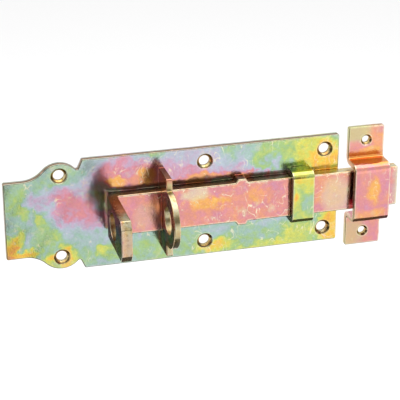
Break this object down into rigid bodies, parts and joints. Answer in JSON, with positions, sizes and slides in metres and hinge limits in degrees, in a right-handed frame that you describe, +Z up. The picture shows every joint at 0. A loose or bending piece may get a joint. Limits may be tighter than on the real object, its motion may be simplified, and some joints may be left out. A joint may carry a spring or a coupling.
{
  "type": "padlock sliding bolt",
  "caption": "Flat door bolt on a stamped plate with scalloped tail, padlock eyes on the bolt and the plate, a guide strap and a loose hat-shaped keeper.",
  "frame": {"origin": "centre of the base plate's back face, which lies against the door", "axes": "+X along the bolt towards the keeper, +Y into the door, +Z up; the front faces -Y"},
  "size_m": [0.1907, 0.0395, 0.0618],
  "materials": {
    "plate_zinc": "iridescent yellow chromate over zinc, glossy",
    "staple_zinc": "iridescent yellow chromate over zinc, glossy",
    "strap_zinc": "iridescent yellow chromate over zinc, glossy",
    "bolt_zinc": "iridescent yellow chromate over zinc, rubbed bright in places",
    "keeper_zinc": "iridescent yellow chromate over zinc, glossy"
  },
  "bodies": {
    "plate": {"base_plate": "plate_zinc", "padlock_staple": "staple_zinc", "guide_strap": "strap_zinc"},
    "bolt": {"sliding_bolt": "bolt_zinc"},
    "keeper": {"keeper": "keeper_zinc"}
  },
  "joints": [
    {"name": "bolt_slide", "type": "slide", "parent": "plate", "child": "bolt", "axis": [1, 0, 0], "range_m": [-0.0327, 0.0206]},
    {"name": "keeper_slide", "type": "slide", "parent": "plate", "child": "keeper", "axis": [1, 0, 0], "range_m": [-0.004, 0.04]}
  ]
}
